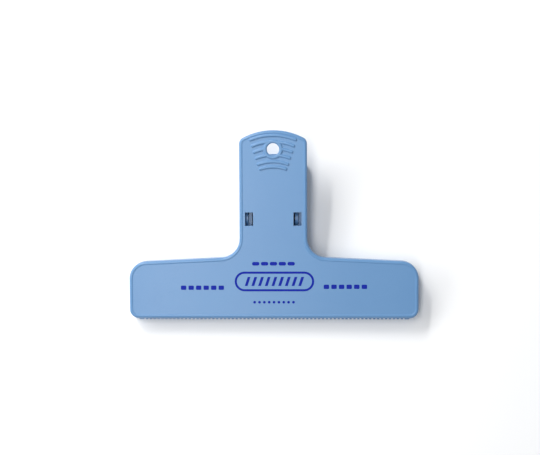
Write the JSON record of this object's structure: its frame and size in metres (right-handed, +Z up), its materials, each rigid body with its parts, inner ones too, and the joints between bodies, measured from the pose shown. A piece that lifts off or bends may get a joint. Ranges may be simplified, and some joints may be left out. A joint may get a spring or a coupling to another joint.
{
  "type": "spring binder clip",
  "caption": "Wide T-shaped moulded spring clip: two hinged shells with toothed jaws, thumb handles and a hanging hole.",
  "frame": {"origin": "on the surface the clip lies on, in the middle of its bounding box seen from above", "axes": "+X along the jaws, +Y from the mouth towards the handle end, +Z up, away from the surface; the clip lies on its rear shell"},
  "size_m": [0.134, 0.0866, 0.0236],
  "materials": {
    "front_plastic": "satin light-blue moulded plastic, faintly textured",
    "rear_plastic": "satin light-blue moulded plastic, faintly textured",
    "pin_steel": "drawn steel, cut ends chamfered",
    "spring_wire": "hard-drawn spring wire, slightly dull and brownish"
  },
  "bodies": {
    "rear": {"rear_shell": "rear_plastic", "pivot_pin": "pin_steel", "torsion_spring": "spring_wire"},
    "front": {"front_shell": "front_plastic"}
  },
  "joints": [
    {"name": "jaw_hinge", "type": "hinge", "parent": "rear", "child": "front", "pos_m": [0, 0.00387, 0.00851], "axis": [-1, 0, 0], "range_deg": [0, 24], "stiffness_Nm_per_rad": 0.27, "springref_deg": -75.06, "deforming": ["torsion_spring"]}
  ]
}
